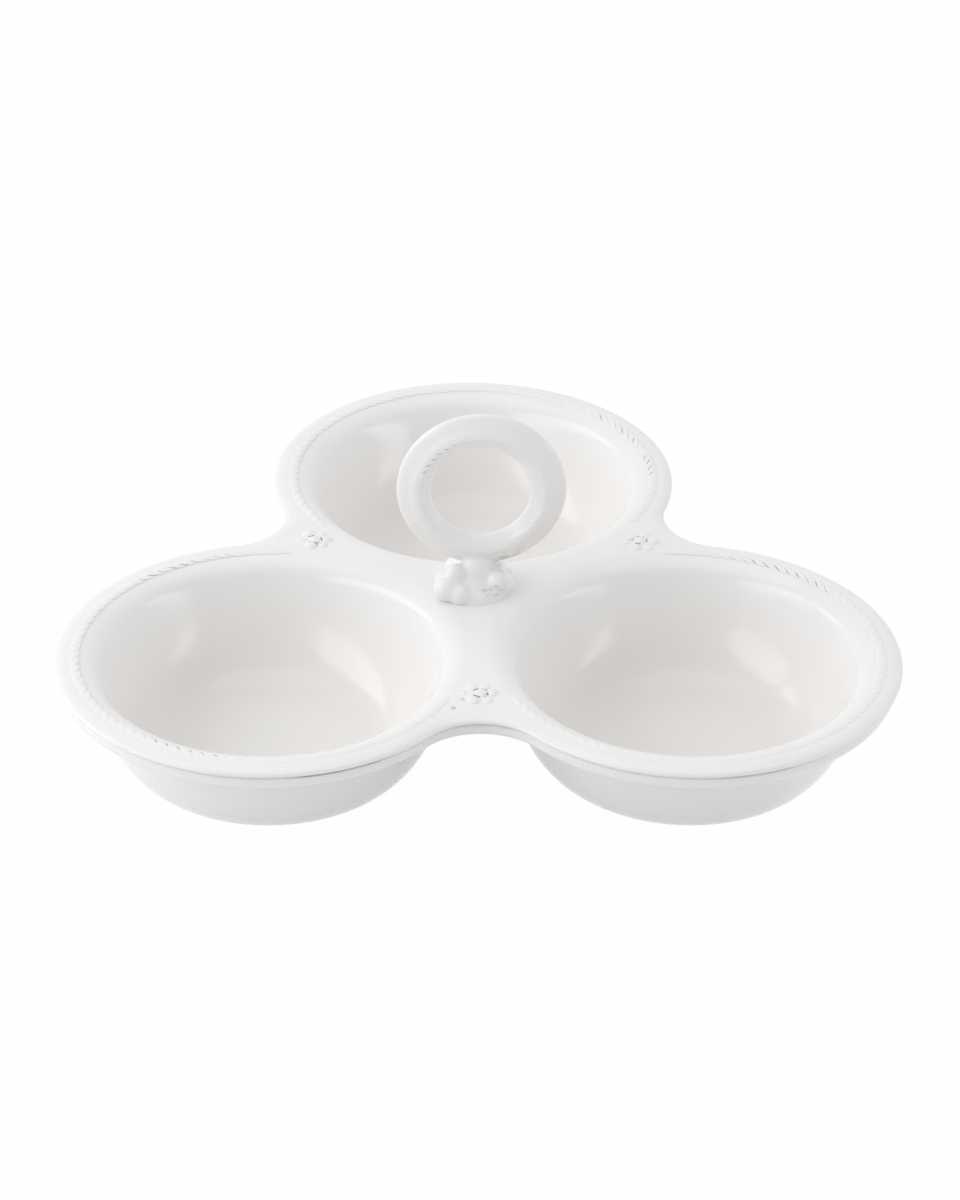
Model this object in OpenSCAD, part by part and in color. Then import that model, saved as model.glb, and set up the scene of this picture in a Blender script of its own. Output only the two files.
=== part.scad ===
// Three-bowl serving dish of glazed stoneware with an upright ring handle in the middle.
// Millimetres. Z is up, the table is at Z = 0, and the origin is under the handle.
// Each module is one piece as it is shaped in clay, before the pieces are luted together and fired.

/* [Bowls] */
// Radius of a bowl where its shell meets the rim and the web
mouth_r = 72.6; // [60:0.2:90]
// Clay left between the mouths of neighbouring bowls
web_w = 19; // [14:0.5:26]
// Step in from the mouth to the top of the outer wall
ledge_w = 2.5; // [1.5:0.1:4]
// Thickness of the floor of a bowl
floor_t = 5; // [3.5:0.5:8]
// Radius of the flat floor inside a bowl
floor_r = 38; // [28:1:42]

/* [Feet] */
// Outer radius of a foot ring
foot_r = 46; // [40:0.5:50]
// Width of the face that a foot ring stands on
foot_w = 7; // [4:0.5:10]
// Height of a foot ring
foot_h = 2; // [1:0.5:4]

/* [Rim] */
// Height of the rim's crest over the table
rim_h = 50.6; // [44:0.1:60]
// Distance from the crest line in to the mouth of a bowl
rim_in = 6.6; // [6:0.1:8]
// Distance that the rolled edge stands out past the crest line
rim_out = 6; // [5:0.1:7]
// Height of the rolled edge, top to bottom
roll_h = 4.2; // [3:0.1:5]
// Radius of the crest line round each notch between two bowls
notch_r = 31; // [24:0.5:38]
// Extra width of the rim's root at a notch, past the width that it has round a bowl
notch_root = 2.4; // [1.6:0.2:6]
// Width over which the lip falls away into a bowl
lip_w = 12; // [10:0.5:14]
// Height that the full curve of the lip falls
lip_h = 8; // [6:0.5:10]

/* [Apron] */
// Depth of the apron band below the rolled edge
apron_h = 5.3; // [4:0.1:7]
// Distance that the rolled edge stands out past the face of the apron
roll_over = 1.9; // [1.2:0.1:2.6]
// Rounding of the apron's lower edge
apron_round = 1.2; // [0.5:0.1:1.5]

/* [Web] */
// Thickness of the web between the bowls
web_t = 6; // [4:0.5:9]

/* [Rope edge] */
// Radius of the rope that runs along the rim
rope_r = 1.8; // [1.2:0.1:2.2]
// Distance from one strand of the rim's rope to the next
rope_pitch = 5; // [4:0.25:8]
// Distance from the crest line in to the rope
rope_in = 2; // [1.6:0.1:3.4]
// Depth that the middle of a rope lies under the surface
rope_sink = 0.9; // [0.4:0.1:1.2]
// Gap left round a rope in its groove
groove_gap = 0.1; // [0.05:0.05:0.3]
// Gap from the end of a rope to the cluster of berries that it runs up to
rope_end_gap = 1; // [0.5:0.25:4]

/* [Berries] */
// Distance from the crest line at a notch in to the middle of its cluster of berries
cluster_in = 13; // [11:0.5:15]
// Radius of a berry on the rim
berry_r = 3; // [2:0.1:3.6]
// Height that the berries on the rim stand over the web
berry_rise = 2.2; // [1:0.1:2.6]
// Depth that a cluster is let into the rim
cluster_seat = 0.6; // [0.3:0.1:1.5]

/* [Handle] */
// Radius of the collar's foot
collar_foot_r = 14; // [12:0.5:16]
// Height of the collar's foot over the web
collar_foot_h = 3.5; // [2:0.5:5]
// Height of the collar over the web
collar_h = 11; // [10:0.5:16]
// Radius of the collar's top
collar_top_r = 8; // [7:0.5:9]
// Depth that the collar is let into the web
collar_seat = 1.5; // [0.8:0.1:3]
// Radius of a large berry round the collar
collar_berry_r = 5; // [4:0.25:6]
// Clear height of the stem between the collar and the ring
stem_h = 1.4; // [0.4:0.2:5]
// Outer radius of the ring
ring_r = 34; // [28:0.5:42]
// Width of the ring's clay, from its hole to its outside
ring_w = 14.2; // [11:0.1:18]
// Thickness of the ring, front to back
ring_t = 9.2; // [7:0.2:13]
// Lean of the ring to the right, as set by hand
ring_lean = 2.2; // [0:0.2:6]
// Radius of the rope on the ring
ring_rope_r = 1.3; // [0.9:0.1:1.6]
// Distance from one strand of the ring's rope to the next
ring_rope_pitch = 3.6; // [3:0.2:6]

/* [Hidden] */
$fn = 96;

// Directions of the bowls, and of the notches between them
back_a = 90;
left_a = 210;
right_a = 330;
bowl_angles = [back_a, left_a, right_a];
front_notch_a = 270;
left_notch_a = 150;
right_notch_a = 30;
notch_angles = [front_notch_a, left_notch_a, right_notch_a];

// The crest line: an arc round each bowl, joined by an arc round each notch
crest_r = mouth_r + rim_in;
half_gap = mouth_r + web_w / 2;
bowl_at = half_gap / cos(30);
reach = crest_r + notch_r;
notch_at = bowl_at / 2 + sqrt(reach * reach - half_gap * half_gap);
notch_half_a = asin(half_gap / reach);
lobe_half_a = 60 + notch_half_a;
notch_in = rim_in + notch_root;

// Heights
roll_z = rim_h - roll_h / 2;
apron_z = rim_h - roll_h - apron_h;
floor_z = foot_h + floor_t;
web_z = rim_h - web_t;
overrun = roll_h + apron_h;

// Curves of a bowl's walls: handle points as shares of the wall's run and rise
wall_r = mouth_r - ledge_w;
wall_handle_shares = [[0.9, 0.425], [0.505, 0]];
well_handle_shares = [[0.74, 0.56], [0.52, 0]];
lip_end_share = 0.87;
lip_over_share = 0.25;
curve_steps = 12;
lip_steps = 6;
roll_steps = 16;

// Places of the ropes
rope_steps = 3;
strands = 3;
strand_dip_share = 0.6;
rope_path_r = crest_r - rope_in;
rope_z = rim_h - lip_drop(rope_in) - rope_sink;

// Clusters on the rim, and how far a rope runs round its bowl to reach them
berry_pitch_share = 1.86;
berry_margin_share = 0.17;
berry_pitch = berry_r * berry_pitch_share;
berry_margin = berry_r * berry_margin_share;
cluster_at = notch_at - notch_r - cluster_in;
cluster_r = berry_pitch + berry_r + berry_margin;
cluster_tilt = 12;
cluster_from_bowl = [cluster_at * sin(60), cluster_at * cos(60) - bowl_at];
cluster_d = norm(cluster_from_bowl);
stop_d = cluster_r + rope_r + rope_end_gap;
stop_a = stop_d <= cluster_d - rope_path_r ? 0
    : acos((pow(rope_path_r, 2) + pow(cluster_d, 2) - pow(stop_d, 2)) / (2 * rope_path_r * cluster_d));
rope_half_a = atan2(cluster_from_bowl.x, cluster_from_bowl.y) - stop_a;

// Collar and ring
collar_z = rim_h + collar_h;
collar_waist_share = 0.9;
collar_handle_share = 0.5;
low_berries = 8;
low_berry_at_share = 0.86;
low_berry_rise_share = 0.5;
high_berries = 6;
high_berry_share = 0.72;
high_berry_out_share = 0.25;
ring_steps = 20;
ring_mid_r = ring_r - ring_w / 2;
ring_rope_span = 290;
ring_rope_z = ring_t / 2 - ring_rope_r * rope_sink / rope_r;

// Height lost by the lip at a distance d in from the crest line
function lip_drop(d) = lip_h * (1 - sqrt(max(0, 1 - pow(d / lip_w, 2))));

// A point of a cubic curve through a and d with handles b and c
function cubic(a, b, c, d, t) =
    pow(1 - t, 3) * a + 3 * pow(1 - t, 2) * t * b + 3 * (1 - t) * t * t * c + pow(t, 3) * d;

function curve(a, b, c, d, steps) = [for (i = [0:steps]) cubic(a, b, c, d, i / steps)];

// A point at shares of the way from the foot point p to the top point q
function between(p, q, s) = [p.x + (q.x - p.x) * s.x, p.y + (q.y - p.y) * s.y];

// Lip curve from a distance a to a distance b in from the crest line, as [distance, height]
function lip_points(a, b, steps) =
    [for (i = [0:steps]) let (d = a + (b - a) * i / steps) [d, rim_h - lip_drop(d)]];

// Moves what is drawn at a bowl's middle to the bowl that lies in direction a
module at_bowl(a) {
    rotate([0, 0, a - back_a]) translate([0, bowl_at, 0]) children();
}

// Half section of a bowl
module bowl_section() {
    foot = [foot_r, foot_h];
    ledge = [wall_r, apron_z];
    lip_end = lip_w * lip_end_share;
    top = [crest_r - lip_end, rim_h - lip_drop(lip_end)];
    floor_edge = [floor_r, floor_z];
    outside = curve(
        foot,
        between(foot, ledge, wall_handle_shares[1]),
        between(foot, ledge, wall_handle_shares[0]),
        ledge, curve_steps);
    lip = [for (p = lip_points(rim_in, lip_end, lip_steps)) [crest_r - p.x, p.y]];
    inside = curve(
        top,
        between(floor_edge, top, well_handle_shares[0]),
        between(floor_edge, top, well_handle_shares[1]),
        floor_edge, curve_steps);
    well = [for (i = [1:curve_steps]) inside[i]];
    polygon(concat([[0, foot_h]], outside, [[mouth_r, apron_z]], lip, well, [[0, floor_z]]));
}

module bowl(a) {
    color("ivory") at_bowl(a) rotate_extrude() bowl_section();
}

module foot_ring(a) {
    color("tan") at_bowl(a) difference() {
        cylinder(h = foot_h, r = foot_r);
        translate([0, 0, -overrun]) cylinder(h = foot_h + 2 * overrun, r = foot_r - foot_w);
    }
}

// Section of the rim as [distance out from the crest line, height], from the apron up over the roll
function rim_face() =
    let (face = rim_out - roll_over, start = -acos(face / rim_out))
    concat(
        [[face - apron_round, apron_z], [face, apron_z + apron_round]],
        [for (i = [0:roll_steps])
            let (t = start + (90 - start) * i / roll_steps)
            [rim_out * cos(t), roll_z + roll_h / 2 * sin(t)]]);

// Round a bowl the rim's root ends at the mouth and its top follows the lip
module lobe_section() {
    lip = [for (p = lip_points(0, rim_in, lip_steps)) [-p.x, p.y]];
    tail = [for (i = [1:lip_steps]) lip[i]];
    translate([crest_r, 0]) difference() {
        polygon(concat([[-rim_in, apron_z]], rim_face(), tail));
        translate([-rope_in, rope_z]) circle(r = rope_r + groove_gap);
    }
}

// Round a notch the root is wider and its top is level
module notch_section() {
    translate([notch_r, 0]) mirror([1, 0])
        polygon(concat([[-notch_in, apron_z]], rim_face(), [[-notch_in, rim_h]]));
}

// What the lip of each bowl takes off the pieces round it
module lip_cutters() {
    from = [for (p = lip_points(0, rim_in + web_w * lip_over_share, lip_steps)) [crest_r - p.x, p.y]];
    last = from[lip_steps];
    for (a = bowl_angles) at_bowl(a) rotate_extrude()
        polygon(concat(from, [[last.x, rim_h + overrun], [crest_r, rim_h + overrun]]));
}

// What the shell of each bowl takes up
module mouths() {
    for (a = bowl_angles) at_bowl(a) cylinder(h = rim_h + overrun, r = mouth_r);
}

// Shallow seats that the clusters of berries lie in
module cluster_seats() {
    for (a = notch_angles) rotate([0, 0, a]) translate([cluster_at, 0, rim_h - cluster_seat])
        cylinder(h = cluster_seat + overrun, r = cluster_r);
}

// Grooves that the ropes lie in where they run on past the lobes of the rim
module rope_grooves() {
    half = rope_half_a + groove_gap / rope_path_r * 180 / PI;
    for (a = bowl_angles) at_bowl(a) translate([0, 0, rope_z])
        rotate_extrude(angle = 2 * half, start = back_a - half)
            translate([rope_path_r, 0]) circle(r = rope_r + groove_gap);
}

// The rolled rim round one bowl, from notch to notch
module lobe_rim(a) {
    color("ivory") at_bowl(a)
        rotate_extrude(angle = 2 * lobe_half_a, start = back_a - lobe_half_a) lobe_section();
}

// The rolled rim round one notch, which bridges the rims of two bowls
module notch_rim(a) {
    color("ivory") rotate([0, 0, a - left_notch_a]) difference() {
        rotate([0, 0, left_notch_a]) translate([notch_at, 0, 0])
            rotate_extrude(angle = 2 * notch_half_a, start = 180 - notch_half_a) notch_section();
        mouths();
        lip_cutters();
        rope_grooves();
        cluster_seats();
    }
}

// The web fills the space between the three mouths and the rim's root at the notches
module centre_web() {
    corners = [
        for (i = [0:2], far = [false, true])
            let (a = right_notch_a + i * 120 + (far ? 60 : 0), d = far ? bowl_at : notch_at)
            [d * cos(a), d * sin(a)]
    ];
    color("ivory") difference() {
        translate([0, 0, web_z]) linear_extrude(web_t) difference() {
            polygon(corners);
            for (a = bowl_angles) rotate([0, 0, a]) translate([bowl_at, 0]) circle(r = mouth_r);
            for (a = notch_angles) rotate([0, 0, a]) translate([notch_at, 0]) circle(r = notch_r + notch_in);
        }
        lip_cutters();
        rope_grooves();
        cluster_seats();
        translate([0, 0, rim_h - collar_seat]) cylinder(h = collar_seat + overrun, r = collar_foot_r);
    }
}

// A rope of twisted strands laid along an arc of radius path_r about Z
module rope(path_r, r, pitch, from_a, span) {
    length = path_r * span * PI / 180;
    rings = ceil(length / pitch * rope_steps);
    sides = 2 * strands;
    turn = 360 / strands / rope_steps;
    points = [
        for (i = [0:rings], j = [0:sides - 1])
            let (a = from_a + span * i / rings,
                 q = 360 * j / sides + turn * i,
                 s = r * (j % 2 == 0 ? 1 : strand_dip_share),
                 d = path_r + s * cos(q))
            [d * cos(a), d * sin(a), s * sin(q)]
    ];
    skin = [
        for (i = [0:rings - 1], j = [0:sides - 1], half = [0, 1])
            let (k = i * sides, n = (j + 1) % sides)
            half == 0 ? [k + j, k + sides + j, k + sides + n] : [k + j, k + sides + n, k + n]
    ];
    first_cap = [for (j = [0:sides - 1]) j];
    last_cap = [for (j = [0:sides - 1]) rings * sides + sides - 1 - j];
    polyhedron(points, concat(skin, [first_cap, last_cap]));
}

module rope_edge(a) {
    color("antiquewhite") at_bowl(a) translate([0, 0, rope_z])
        rope(rope_path_r, rope_r, rope_pitch, back_a - rope_half_a, 2 * rope_half_a);
}

// A low cluster of berries on a thin pad, as a sprig pressed on the clay
module berries(a) {
    berry_z = rim_h + berry_rise - berry_r;
    color("antiquewhite") rotate([0, 0, a]) translate([cluster_at, 0, 0]) rotate([0, 0, cluster_tilt])
        intersection() {
            union() {
                translate([0, 0, rim_h - cluster_seat]) cylinder(h = cluster_seat + berry_margin, r = cluster_r);
                translate([0, 0, berry_z]) sphere(r = berry_r);
                for (i = [0:5]) rotate([0, 0, i * 60]) translate([berry_pitch, 0, berry_z])
                    sphere(r = berry_r);
            }
            translate([0, 0, rim_h - cluster_seat]) cylinder(h = overrun, r = cluster_r);
        }
}

// Solid of the collar: a stepped foot and a mound that narrows to the ring's stem
module collar_body() {
    foot_top = rim_h + collar_foot_h;
    waist_r = collar_foot_r * collar_waist_share;
    handle = (collar_z - foot_top) * collar_handle_share;
    side = curve(
        [waist_r, foot_top],
        [waist_r, foot_top + handle],
        [collar_top_r, collar_z - handle],
        [collar_top_r, collar_z], curve_steps / 2);
    rotate_extrude() polygon(concat(
        [[0, rim_h - collar_seat], [collar_foot_r, rim_h - collar_seat], [collar_foot_r, foot_top]],
        side, [[0, collar_z]]));
}

module handle_collar() {
    color("ivory") collar_body();
}

// Two rows of berries wrapped round the collar and fused where they touch
module collar_berries() {
    low_at = collar_foot_r * low_berry_at_share;
    low_z = rim_h + collar_foot_h + collar_berry_r * low_berry_rise_share;
    high_r = collar_berry_r * high_berry_share;
    high_at = collar_top_r + high_r * high_berry_out_share;
    high_z = collar_z - high_r;
    color("antiquewhite") difference() {
        union() {
            for (i = [0:low_berries - 1]) rotate([0, 0, (i + 0.5) * 360 / low_berries])
                translate([low_at, 0, low_z]) sphere(r = collar_berry_r);
            for (i = [0:high_berries - 1]) rotate([0, 0, i * 360 / high_berries])
                translate([high_at, 0, high_z]) sphere(r = high_r);
        }
        collar_body();
        translate([0, 0, rim_h - overrun]) cylinder(h = overrun + collar_foot_h, r = 2 * collar_foot_r);
    }
}

// Places what is drawn round the ring's middle, with Z as the ring's axis
module at_ring() {
    translate([0, 0, collar_z]) rotate([0, ring_lean, 0])
        translate([0, 0, stem_h + ring_r]) rotate([90, 0, 0]) children();
}

module ring_section() {
    oval = [
        for (i = [0:ring_steps - 1])
            let (t = 360 * i / ring_steps)
            [ring_w / 2 * cos(t), ring_t / 2 * sin(t)]
    ];
    translate([ring_mid_r, 0]) difference() {
        polygon(oval);
        for (s = [-1, 1]) translate([0, s * ring_rope_z]) circle(r = ring_rope_r + groove_gap);
    }
}

module handle_ring() {
    color("ivory") difference() {
        union() {
            at_ring() rotate_extrude() ring_section();
            translate([0, 0, collar_z]) cylinder(h = stem_h + ring_w / 2, r1 = collar_top_r, r2 = ring_t / 2);
        }
        translate([0, 0, collar_z - overrun]) cylinder(h = overrun, r = ring_r);
    }
}

// One rope on the front of the ring and one on its back, open over the stem
module handle_ropes() {
    color("antiquewhite") at_ring() for (s = [0, 1]) mirror([0, 0, s]) translate([0, 0, ring_rope_z])
        rope(ring_mid_r, ring_rope_r, ring_rope_pitch, 90 - ring_rope_span / 2, ring_rope_span);
}

bowl(left_a);  // left_bowl
bowl(right_a);  // right_bowl
bowl(back_a);  // back_bowl
centre_web();
lobe_rim(left_a);  // left_rim
lobe_rim(right_a);  // right_rim
lobe_rim(back_a);  // back_rim
notch_rim(front_notch_a);  // front_notch_rim
notch_rim(left_notch_a);  // left_notch_rim
notch_rim(right_notch_a);  // right_notch_rim
rope_edge(left_a);  // left_rope_edge
rope_edge(right_a);  // right_rope_edge
rope_edge(back_a);  // back_rope_edge
berries(front_notch_a);  // front_berries
berries(left_notch_a);  // left_berries
berries(right_notch_a);  // right_berries
foot_ring(left_a);  // left_foot_ring
foot_ring(right_a);  // right_foot_ring
foot_ring(back_a);  // back_foot_ring
handle_collar();
collar_berries();
handle_ring();
handle_ropes();
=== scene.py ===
import math

import bmesh
import bpy
from mathutils import Matrix, Vector


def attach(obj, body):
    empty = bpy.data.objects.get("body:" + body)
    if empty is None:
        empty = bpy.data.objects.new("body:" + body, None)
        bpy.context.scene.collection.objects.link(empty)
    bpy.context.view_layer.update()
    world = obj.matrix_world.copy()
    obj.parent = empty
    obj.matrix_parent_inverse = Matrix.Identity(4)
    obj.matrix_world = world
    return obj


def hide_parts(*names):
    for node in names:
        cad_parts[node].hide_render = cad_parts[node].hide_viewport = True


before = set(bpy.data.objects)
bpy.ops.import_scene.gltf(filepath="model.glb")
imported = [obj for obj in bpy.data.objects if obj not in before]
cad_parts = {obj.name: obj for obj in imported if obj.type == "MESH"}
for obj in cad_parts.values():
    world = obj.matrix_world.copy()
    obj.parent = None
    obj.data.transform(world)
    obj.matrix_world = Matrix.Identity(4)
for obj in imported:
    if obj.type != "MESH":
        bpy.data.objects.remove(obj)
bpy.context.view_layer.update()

# Sizes of the dish in metres, with angles in degrees. SIDE_TURNS are from the back bowl round.
CREST_R = 0.0792
NOTCH_R = 0.0310
HALF_GAP = 0.0821
BOWL_AT = HALF_GAP / math.cos(math.radians(30))
REACH = CREST_R + NOTCH_R
NOTCH_AT = BOWL_AT / 2 + math.sqrt(REACH**2 - HALF_GAP**2)
NOTCH_HALF = math.degrees(math.asin(HALF_GAP / REACH))
LOBE_HALF = 60 + NOTCH_HALF
RIM_Z = 0.0506
ROLL_OUT = 0.00596
ROLL_HALF = 0.0021
ROLL_Z = RIM_Z - ROLL_HALF
APRON_Z = 0.0411
ROOT_IN = 0.0066
WEB_Z = 0.0446
LIP_W = 0.0120
LIP_H = 0.0080
FLOOR_Z = 0.0070
FLOOR_R = 0.0380
LIP_END = 72
WALL_R = 0.0701
FOOT_R = 0.0460
FOOT_W = 0.0070
FOOT_H = 0.0020
ROPE_R = 0.0024
ROPE_IN = 0.0020
ROPE_HALF = 125.6
ROPE_LEAD = 0.0150
ROPE_DIP = 0.80
ROPE_TAIL = 0.0090
ROPE_FLAT = 0.36
ROPE_SINK = 0.0004
CLUSTER_AT = 0.0769
BERRY_R = 0.0030
BERRY_SQUASH = 0.68
PAD_R = 0.0066
PAD_SQUASH = 0.16
COLLAR_FOOT_R = 0.0140
COLLAR_FOOT_H = 0.0035
COLLAR_Z = 0.0616
STEM_H = 0.0014
RING_R = 0.0340
RING_W = 0.0142
RING_T = 0.0092
RING_LEAN = 2.2
RING_ROPE_R = 0.0016
RING_RIDGE_R = 0.0256
RING_ROPE_SPAN = 290
RING_ROPE_LEAD = 0.0108
RING_ROPE_DIP = 0.78
RING_ROPE_TAIL = 0.0120
RING_ROPE_FLAT = 0.45
RING_ROPE_SINK = 0.0006
SIDE_TURNS = {"left": 120, "right": 240}
MERGE = 0.00001


# Hand tools
def lay_down():
    """Leaves edit mode and lets go of everything."""
    if bpy.context.object and bpy.context.object.mode != "OBJECT":
        bpy.ops.object.mode_set(mode="OBJECT")
    bpy.ops.object.select_all(action="DESELECT")


def pick_up(piece):
    """Selects one piece and nothing else."""
    lay_down()
    piece.select_set(True)
    bpy.context.view_layer.objects.active = piece


def work_on(piece):
    """Opens a piece in edit mode with all of it selected."""
    pick_up(piece)
    bpy.ops.object.mode_set(mode="EDIT")
    bpy.ops.mesh.select_all(action="SELECT")


def turn(degrees, axis="Z", about=(0, 0, 0)):
    """Turns what is selected anticlockwise, seen from the axis's far end."""
    bpy.ops.transform.rotate(
        value=-math.radians(degrees), orient_axis=axis, center_override=about
    )


def grasp(piece, test):
    """Selects the points whose place passes the test."""
    bpy.ops.mesh.select_all(action="DESELECT")
    clay = bmesh.from_edit_mesh(piece.data)
    for point in clay.verts:
        point.select = test(point.co)
    clay.select_flush(True)
    bmesh.update_edit_mesh(piece.data)


def draw_profile(name, points):
    """Draws a line through points, each a distance from the axis and a height, edge by edge."""
    lay_down()
    bpy.ops.mesh.primitive_plane_add(size=0.001, enter_editmode=True, location=(0, 0, 0))
    piece = bpy.context.object
    piece.name = name
    bpy.ops.mesh.select_all(action="SELECT")
    bpy.ops.mesh.merge(type="CENTER")
    bpy.ops.transform.translate(value=(points[0][0], 0, points[0][1]))
    for a, b in zip(points, points[1:]):
        step = (b[0] - a[0], 0, b[1] - a[1])
        bpy.ops.mesh.extrude_region_move(TRANSFORM_OT_translate={"value": step})
    bpy.ops.object.mode_set(mode="OBJECT")
    return piece


def sweep(piece, start, span, steps, centre=(0, 0)):
    """Sweeps a profile about the upright axis through its zero, then moves it to the centre."""
    work_on(piece)
    turn(start)
    bpy.ops.mesh.spin(
        steps=steps, angle=-math.radians(span), center=(0, 0, 0), axis=(0, 0, 1)
    )
    bpy.ops.mesh.select_all(action="SELECT")
    bpy.ops.transform.translate(value=(centre[0], centre[1], 0))
    bpy.ops.object.mode_set(mode="OBJECT")
    return piece


def copy_turned(piece, name, degrees):
    """A copy with its own mesh, turned about the middle of the dish."""
    pick_up(piece)
    bpy.ops.object.duplicate()
    twin = bpy.context.object
    twin.name = name
    work_on(twin)
    turn(degrees)
    bpy.ops.object.mode_set(mode="OBJECT")
    return twin


def nudge(piece, x, y):
    """Sets a piece a little off its even place, as a hand does."""
    work_on(piece)
    bpy.ops.transform.translate(value=(x, y, 0))
    bpy.ops.object.mode_set(mode="OBJECT")


def lute(pieces, name):
    """Joins pieces into one mesh and closes the seams between them."""
    lay_down()
    for piece in pieces:
        piece.select_set(True)
    bpy.context.view_layer.objects.active = pieces[0]
    if len(pieces) > 1:
        bpy.ops.object.join()
    whole = bpy.context.object
    whole.name = name
    work_on(whole)
    bpy.ops.mesh.remove_doubles(threshold=MERGE)
    bpy.ops.mesh.normals_make_consistent(inside=False)
    bpy.ops.object.mode_set(mode="OBJECT")
    return whole


def apply_all(piece):
    """Applies the piece's modifiers in their order."""
    pick_up(piece)
    for modifier in list(piece.modifiers):
        bpy.ops.object.modifier_apply(modifier=modifier.name)


def knead(piece, voxel, passes):
    """Makes one skin of overlapping lumps and rounds the joints, as thick glaze does."""
    skin = piece.modifiers.new("one_skin", "REMESH")
    skin.mode = "VOXEL"
    skin.voxel_size = voxel
    soft = piece.modifiers.new("soften", "SMOOTH")
    soft.factor = 0.5
    soft.iterations = passes
    apply_all(piece)


def mark_hollows(piece, passes, depth):
    """Stores how deep each point lies under the skin around it, from 0 on a crest to 1 in a hollow."""
    pick_up(piece)
    bpy.ops.object.duplicate()
    blurred = bpy.context.object
    soft = blurred.modifiers.new("blur", "SMOOTH")
    soft.factor = 0.5
    soft.iterations = passes
    apply_all(blurred)
    layer = piece.data.attributes.new("hollow", "FLOAT", "POINT")
    for own, other, mark in zip(piece.data.vertices, blurred.data.vertices, layer.data):
        lift = (other.co - own.co).dot(own.normal)
        mark.value = min(1, max(0, lift / depth))
    old = blurred.data
    bpy.data.objects.remove(blurred)
    bpy.data.meshes.remove(old)


def shade(piece, angle):
    """Smooth shading over every edge that is flatter than the angle."""
    pick_up(piece)
    bpy.ops.object.shade_smooth_by_angle(angle=math.radians(angle))


def bezier(a, b, c, d, steps):
    """Points of a curve from a to d with handles b and c, without a itself."""
    points = []
    for i in range(1, steps + 1):
        t = i / steps
        points.append(tuple(
            (1 - t) ** 3 * p + 3 * (1 - t) ** 2 * t * q + 3 * (1 - t) * t * t * r + t**3 * s
            for p, q, r, s in zip(a, b, c, d)
        ))
    return points


def lip_drop(d):
    """How far the lip has fallen at a distance d in from the crest."""
    return LIP_H * (1 - math.sqrt(max(0, 1 - (d / LIP_W) ** 2)))


# The dish: three bowls, the web between them and the rolled rim round all of it
def well_line():
    """From the middle of a bowl's floor up to the crest."""
    end = math.radians(LIP_END)
    lip = [
        (CREST_R - LIP_W * math.sin(end * (1 - i / 9)),
         RIM_Z - LIP_H * (1 - math.cos(end * (1 - i / 9))))
        for i in range(10)
    ]
    floor_edge = (FLOOR_R, FLOOR_Z)
    slope = Vector((LIP_W * math.cos(end), LIP_H * math.sin(end))).normalized()
    top = Vector(lip[0])
    under_lip = top - slope * 0.0160
    side = bezier(floor_edge, (0.0545, FLOOR_Z), tuple(under_lip), tuple(top), 26)
    floor = [(0, FLOOR_Z), (0.012, FLOOR_Z), (0.026, FLOOR_Z), (0.034, FLOOR_Z), floor_edge]
    return floor + side[:-1] + lip


def rim_line():
    """Round the roll, down the apron and in under it, as distance out from the crest and height."""
    roll = []
    for i in range(1, 19):
        t = math.radians(90 - 138 * i / 18)
        roll.append((ROLL_OUT * math.cos(t), ROLL_Z + ROLL_HALF * math.sin(t)))
    groove = [(0.00345, 0.04682), (0.00308, 0.04664), (0.00300, 0.04646), (0.00318, 0.04628)]
    apron = [
        (0.00352, 0.04612), (0.00384, 0.04590), (0.00404, 0.0455), (0.00412, 0.0448),
        (0.00414, 0.0440), (0.00410, 0.0432),
    ]
    edge = [
        (0.00398, 0.0427), (0.00374, 0.0421), (0.0032, 0.0416), (0.0023, 0.04125),
        (0.0010, APRON_Z),
    ]
    return roll + groove + apron + edge + [(-0.0015, APRON_Z), (-ROOT_IN, APRON_Z)]


def wall_line():
    """From the rim's root in to the wall and down it to the middle of the base."""
    start = (WALL_R + 0.00002, 0.0391)
    ledge = [(0.0718, 0.04108), (0.0710, 0.04088), (0.07045, 0.0404), (0.0702, 0.0398), start]
    wall = bezier(start, (0.0677, 0.0180), (0.0582, FOOT_H), (FOOT_R, FOOT_H), 22)
    return ledge + wall + [(0.030, FOOT_H), (0.012, FOOT_H), (0, FOOT_H)]


def mark_line(piece, layer_name, out_of, at, width):
    """Stores how near each point of a profile is to a line that is painted darker: worn or stained
    glaze, and in the groove under the roll painted shade too.
    """
    layer = piece.data.attributes.new(layer_name, "FLOAT", "POINT")
    for point, mark in zip(piece.data.vertices, layer.data):
        here = Vector((out_of(point.co.x), point.co.z))
        mark.value = max(0, 1 - (here - Vector(at)).length / width)


def mark_rim(piece, out_of):
    """Marks the groove under the roll, brown from wear and dark with painted shade, and the apron's
    lower edge, where glaze wore thin.
    """
    mark_line(piece, "groove_wear_and_shade", out_of, (0.0035, 0.0461), 0.0012)
    mark_line(piece, "apron_line", out_of, (0.0034, 0.0415), 0.0012)


def mark_well_shade(piece, well_points):
    """Stores painted shade in a bowl, stronger the deeper it lies below the lip, on the first points
    of its profile.
    """
    layer = piece.data.attributes.new("painted_well_shade", "FLOAT", "POINT")
    for i in range(well_points):
        fallen = RIM_Z - piece.data.vertices[i].co.z
        layer.data[i].value = min(1, max(0, (fallen - LIP_H) / 0.016))


def out_of_lobe(x):
    """Distance out from the crest of a point on a bowl's profile."""
    return x - CREST_R


def out_of_notch(x):
    """Distance out from the crest of a point on a notch's profile, which faces the other way."""
    return NOTCH_R - x


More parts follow.
